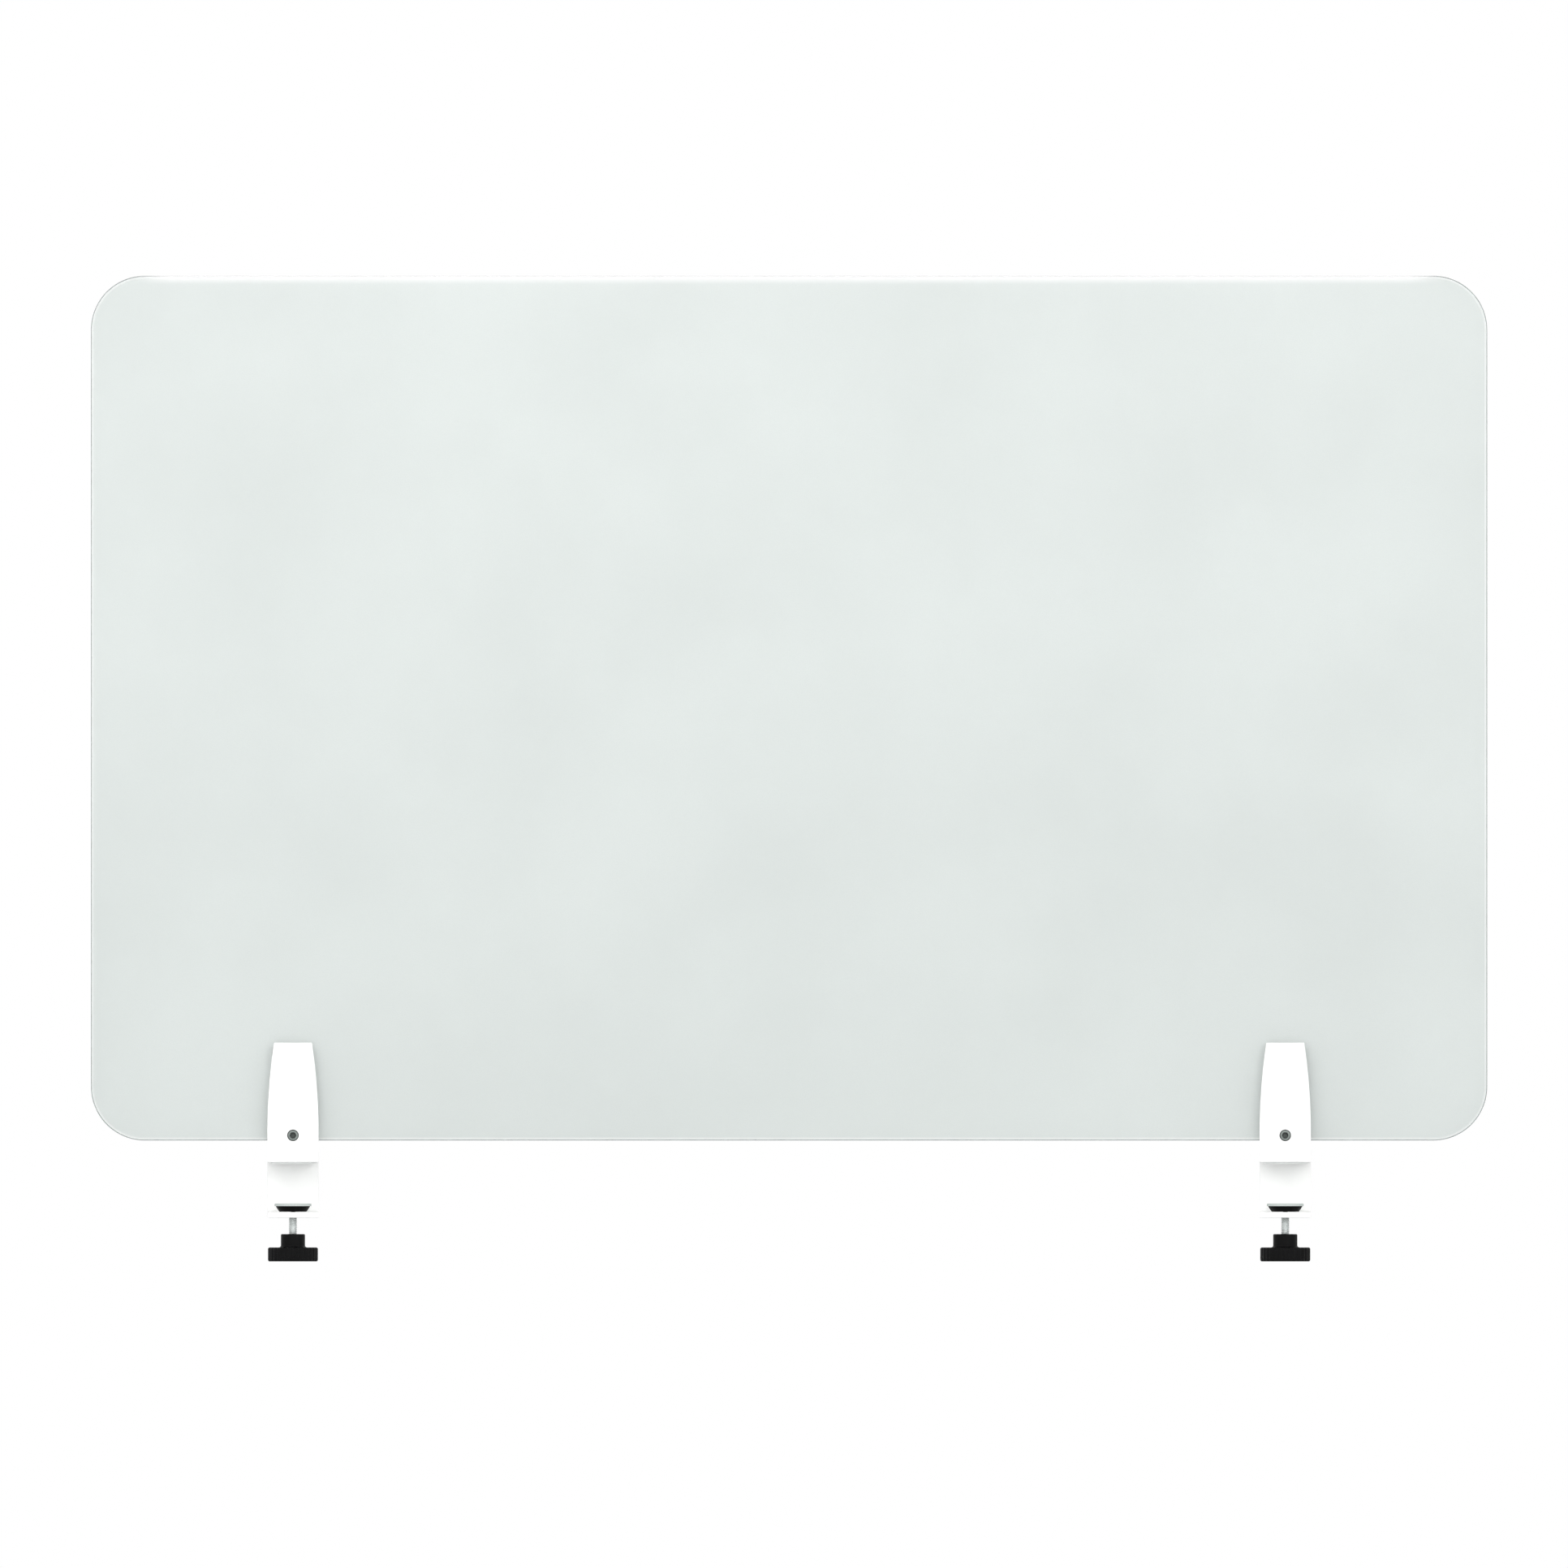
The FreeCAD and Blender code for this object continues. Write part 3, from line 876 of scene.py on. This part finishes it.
def thread_bush(material):
    """The steel bush in the lower arm: a ring with chamfered mouths."""
    outer = (BUSH_HIGH.x - BUSH_LOW.x) / 2 - 0.02 * MM  # stands clear of its bore's wall
    inner, lead = 3.05 * MM, 0.45 * MM
    low, high = BUSH_LOW.z, BUSH_HIGH.z
    piece = turned("left_threaded_bush", [
        (inner + lead, low, 0),
        (outer, low, 0.2 * MM),
        (outer, high, 0.2 * MM),
        (inner + lead, high, 0),
        (inner, high - lead, 0),
        (inner, low + lead, 0),
    ], TURNED_STEPS)
    place(piece, (CLAMP_X, SCREW_Y, 0))
    fit_both_sides(piece, material, "thread_bush", "clamp")


def foot_cup(material):
    """The swivel foot: a shallow moulded bowl with a ball socket and a relief groove beneath."""
    low, high = CUP_LOW.z, CUP_HIGH.z
    top_radius, bottom_radius = 12.3 * MM, 9.6 * MM
    socket, roof = 2.4 * MM, 0.7 * MM
    groove_depth, bulge, chamfer = 0.6 * MM, 0.35 * MM, 0.3 * MM
    ball_height = high - roof - socket
    mouth = math.degrees(math.asin((ball_height - low) / socket))
    middle_radius = (top_radius + bottom_radius) / 2 + bulge
    piece = turned("left_swivel_foot", arc(0, ball_height, socket, 90, -mouth, 12) + [
        (6.0 * MM, low, 0.1 * MM),
        (6.4 * MM, low + groove_depth, 0.1 * MM),
        (8.2 * MM, low + groove_depth, 0.1 * MM),
        (8.6 * MM, low, 0.1 * MM),
        (bottom_radius, low, 0.35 * MM),
        (middle_radius, (low + high) / 2, 0.9 * MM),
        (top_radius, high - chamfer, 0),
        (top_radius - 0.2 * MM, high - AIR, 0),
        (0, high - AIR, 0),
    ], FOOT_STEPS, closed=False)
    place(piece, (CLAMP_X, SCREW_Y, 0))
    fit_both_sides(piece, material, "foot_cup", "foot")


def foot_face(material):
    """The rubber cap on the foot: three ring grooves that bite into the desk, and a lip round the cup."""
    low, high, radius = FACE_LOW.z, FACE_HIGH.z, 13.0 * MM
    roof, lip_inner = CUP_HIGH.z, 12.32 * MM
    groove, depth, flare = 0.8 * MM, 0.4 * MM, 0.15 * MM
    outline = [(0, high, 0)]
    for ring in (4.2 * MM, 7.2 * MM, 10.2 * MM):
        outline += [
            (ring - groove / 2 - flare, high, 0.06 * MM),
            (ring - groove / 2, high - depth, 0.1 * MM),
            (ring + groove / 2, high - depth, 0.1 * MM),
            (ring + groove / 2 + flare, high, 0.06 * MM),
        ]
    outline += [
        (radius, high, 0.35 * MM),
        (radius, low, 0.25 * MM),
        (lip_inner, low, 0.1 * MM),
        (lip_inner, roof, 0),
        (0, roof, 0),
    ]
    piece = turned("left_foot_rubber", outline, FOOT_STEPS, closed=False)
    place(piece, (CLAMP_X, SCREW_Y, 0))
    fit_both_sides(piece, material, "foot_face", "foot")


def clamp_screw(material):
    """The M6 hexagon bolt: ball end, neck, threaded shank, and the head that the knob grips."""
    core, crest, pitch = 2.42 * MM, 3.0 * MM, 1.0 * MM
    ball, neck = 2.3 * MM, 1.45 * MM
    ball_height = SCREW_HIGH.z - ball
    neck_angle = math.degrees(math.acos(neck / ball))
    neck_length, chamfer, sunk = 0.6 * MM, 0.6 * MM, 0.5 * MM
    shoulder = ball_height - math.sqrt(ball ** 2 - neck ** 2) - neck_length
    head_low, head_height, flats = SCREW_LOW.z, 4.0 * MM, 10.0 * MM
    head_top = head_low + head_height
    washer_face, dome_radius, dome_height = 4.75 * MM, 6.2 * MM, 0.85 * MM
    piece = turned("left_clamp_bolt", arc(0, ball_height, ball, 90, -neck_angle, 14) + [
        (neck, shoulder, 0.15 * MM),
        (crest, shoulder - chamfer, 0.1 * MM),
        (core, shoulder - 2 * chamfer, 0),
        (core, head_top - sunk, 0),
        (0, head_top - sunk, 0),
    ], TURNED_STEPS, closed=False)
    ridge = thread("bolt_thread", core, crest, pitch, head_top + sunk, shoulder - pitch)
    combine(piece, ridge, "UNION")
    head = hexagon("head", flats, head_low, head_top)
    dome = turned("dome", [
        (0, head_low, 0),
        (washer_face, head_low, 0.1 * MM),
        (dome_radius, head_low + dome_height, 0),
        (dome_radius, head_top, 0),
        (0, head_top, 0),
    ], TURNED_STEPS, closed=False)
    combine(head, dome, "INTERSECT")
    combine(piece, head, "UNION")
    place(piece, (CLAMP_X, SCREW_Y, 0))
    fit_both_sides(piece, material, "clamp_screw", "screw")


def knob(material):
    """The moulded knob: a slim hub on a fluted flange, cored out and ribbed underneath."""
    low, high = KNOB_LOW.z, KNOB_HIGH.z
    hub, hub_height, flange, bore = 8.55 * MM, 9.4 * MM, 17.7 * MM, 3.02 * MM
    wall, core_depth, boss = 2.5 * MM, 7.0 * MM, 8.0 * MM
    lead, draft = 0.4 * MM, 0.2 * MM  # the bore's chamfer, and the core's taper
    ledge = high - hub_height
    roof = low + core_depth
    piece = turned("left_knob_moulding", [
        (bore, high - lead, 0),
        (bore + lead, high, 0),
        (hub, high, 0.8 * MM),
        (hub, ledge, 1.5 * MM),
        (flange, ledge, RIM_ROUND),
        (flange, low, RIM_ROUND),
        (flange - wall, low, 0.4 * MM),
        (flange - wall - draft, roof, 0.8 * MM),
        (boss + draft, roof, 0.8 * MM),
        (boss, low, 0.4 * MM),
        (bore, low, 0),
    ], KNOB_STEPS)
    flute(flange)
    add_ribs(piece, (boss, flange - wall), (low, roof))
    pocket_flats, pocket_depth = 10.04 * MM, 5 * MM
    combine(piece, hexagon("pocket", pocket_flats, low - MM, low + pocket_depth), "DIFFERENCE")
    place(piece, (CLAMP_X, SCREW_Y, 0))
    fit_both_sides(piece, material, "knob", "screw")


def add_ribs(piece, radii, heights):
    """Six ribs under the knob, from its boss to its rim, a little short of the underside."""
    count, thickness, short, sunk, edge = 6, 1.6 * MM, 0.6 * MM, 0.5 * MM, 0.25 * MM
    (inner, outer), (low, roof) = radii, heights
    for step in range(count):
        rib = block(
            "rib",
            (inner - sunk, -thickness / 2, low + short),
            (outer + sunk, thickness / 2, roof + sunk),
        )
        soften_edges(rib, edge, segments=2)
        place(rib, rotation=(0, 0, 2 * math.pi * step / count))
        combine(piece, rib, "UNION")


def flute(flange):
    """Presses round-bottomed flutes into the active knob's rim."""
    radius, depth = 1.6 * MM, 0.5 * MM
    edit(bpy.context.object)
    for offset in range(-3, 4):
        angle = 2 * math.pi * offset / KNOB_STEPS
        sideways = flange * math.sin(angle)
        sink = math.sqrt(max(radius ** 2 - sideways ** 2, 0)) - (radius - depth)
        if sink <= 0:
            continue
        pick("VERT", lambda v: in_flute(v.co, flange, angle))
        share = 1 - sink / flange
        bpy.ops.transform.resize(value=(share, share, 1), center_override=(0, 0, 0))
    leave()


def in_flute(point, flange, angle):
    """True for the points of the rim that lie at one angle from the middle of a flute."""
    if math.hypot(point.x, point.y) < flange - RIM_ROUND - 0.01 * MM:
        return False
    turns = (math.atan2(point.y, point.x) - angle) / (2 * math.pi / KNOB_FLUTES)
    return abs(turns - round(turns)) < 0.02


# ================ stage, light and camera ================

def floor():
    """A plain pale floor just under the knobs."""
    size, drop = 8.0, 0.5 * MM
    select_none()
    bpy.ops.mesh.primitive_plane_add(size=size, location=(0, 0, cad_box[0][2] - drop))
    settle()
    piece = new_piece("studio_floor")
    material, tree, shader, at = start_material("pale_floor", Metallic=0.0, Roughness=0.8)
    mottle = noise(tree, at, 90, detail=2)
    tree.links.new(colour_between(tree, mottle, "#EDEEEE", "#F0F1F1"), shader.inputs["Base Color"])
    piece.data.materials.append(material)


def world():
    """A white studio: a bright band round the horizon, dimmer above, below and to the sides."""
    band_start, band_end, overhead = 0.35, 0.8, 0.35
    scene_world = bpy.data.worlds.new("studio")
    bpy.context.scene.world = scene_world
    scene_world.use_nodes = True
    tree = scene_world.node_tree
    tree.nodes.clear()
    direction = add(tree, "ShaderNodeTexCoord").outputs["Generated"]
    split = add(tree, "ShaderNodeSeparateXYZ", links={"Vector": direction})
    depth = number_step(tree, "MULTIPLY", number_step(tree, "ADD", split.outputs["Y"], 1.0), 0.5)
    ramp = add(tree, "ShaderNodeValToRGB", links={"Fac": depth})
    stops = ramp.color_ramp.elements
    stops[0].color = grey(FRONT_LIGHT)
    stops[1].color = grey(BACK_LIGHT)
    stops.new(0.5).color = grey(SIDE_LIGHT)
    stops.new(0.72).color = grey(BACK_LIGHT)
    height = number_step(tree, "ABSOLUTE", split.outputs["Z"], 0.0)
    band = number_step(tree, "ADD", fade(tree, height, band_start, band_end, 1.0 - overhead), overhead)
    strength = number_step(tree, "MULTIPLY", band, ROOM_LIGHT)
    studio = add(tree, "ShaderNodeBackground", links={"Color": ramp.outputs["Color"], "Strength": strength})
    white = add(tree, "ShaderNodeBackground", {"Color": (1, 1, 1, 1), "Strength": 1.0})
    camera_ray = add(tree, "ShaderNodeLightPath").outputs["Is Camera Ray"]
    mix = add(tree, "ShaderNodeMixShader", links={
        0: camera_ray, 1: studio.outputs["Background"], 2: white.outputs["Background"]
    })
    add(tree, "ShaderNodeOutputWorld", links={"Surface": mix.outputs["Shader"]})


def softbox(name, location, size, power):
    """A square soft light that looks at the panel's lower half."""
    data = bpy.data.lights.new(name, "AREA")
    data.shape = "SQUARE"
    data.size = size
    data.energy = power
    lamp = bpy.data.objects.new(name, data)
    aim = Vector((0, 0, 250 * MM)) - Vector(location)
    lamp.rotation_euler = aim.to_track_quat("-Z", "Y").to_euler()
    lamp.location = location
    bpy.context.scene.collection.objects.link(lamp)


def camera():
    """A square-on view from in front, with the panel filling nine tenths of the width."""
    panel_share, sideways, away, height = 0.8905, -3.6 * MM, 3.0, 267.8 * MM
    data = bpy.data.cameras.new("square_on")
    data.type = "ORTHO"
    data.ortho_scale = (PANEL_HIGH.x - PANEL_LOW.x) / panel_share
    viewer = bpy.data.objects.new("square_on", data)
    viewer.location = (sideways, -away, height)
    viewer.rotation_euler = (math.radians(90), 0, 0)
    bpy.context.scene.collection.objects.link(viewer)
    bpy.context.scene.camera = viewer


coat = powder_coat()
steel = zinc_plate()
rubber = soft_rubber()
panel()
clamp_casting(coat)
jaw_pad(silicone())
slot_strip("rear_liner_strip", "rear_liner", "clamp", rubber, 0.2 * MM)
slot_strip("front_liner_strip", "front_liner", "plate", rubber, 0.2 * MM)
slot_strip("spreader_plate", "pressure_plate", "plate", steel, 0.3 * MM)
grip_screw(black_oxide())
thread_bush(steel)
foot_cup(moulded_black("black_acetal_foot", 0.5, 0.35, 0.5))
foot_face(rubber)
clamp_screw(steel)
knob(moulded_black("black_nylon_knob", 0.4, 0.4, 0.55))

floor()
world()
softbox("key", (-1.1, -1.7, 1.5), 1.2, 10)
softbox("fill", (1.4, -2.2, 1.1), 1.4, 9)
camera()
bpy.context.scene.view_settings.view_transform = "Standard"
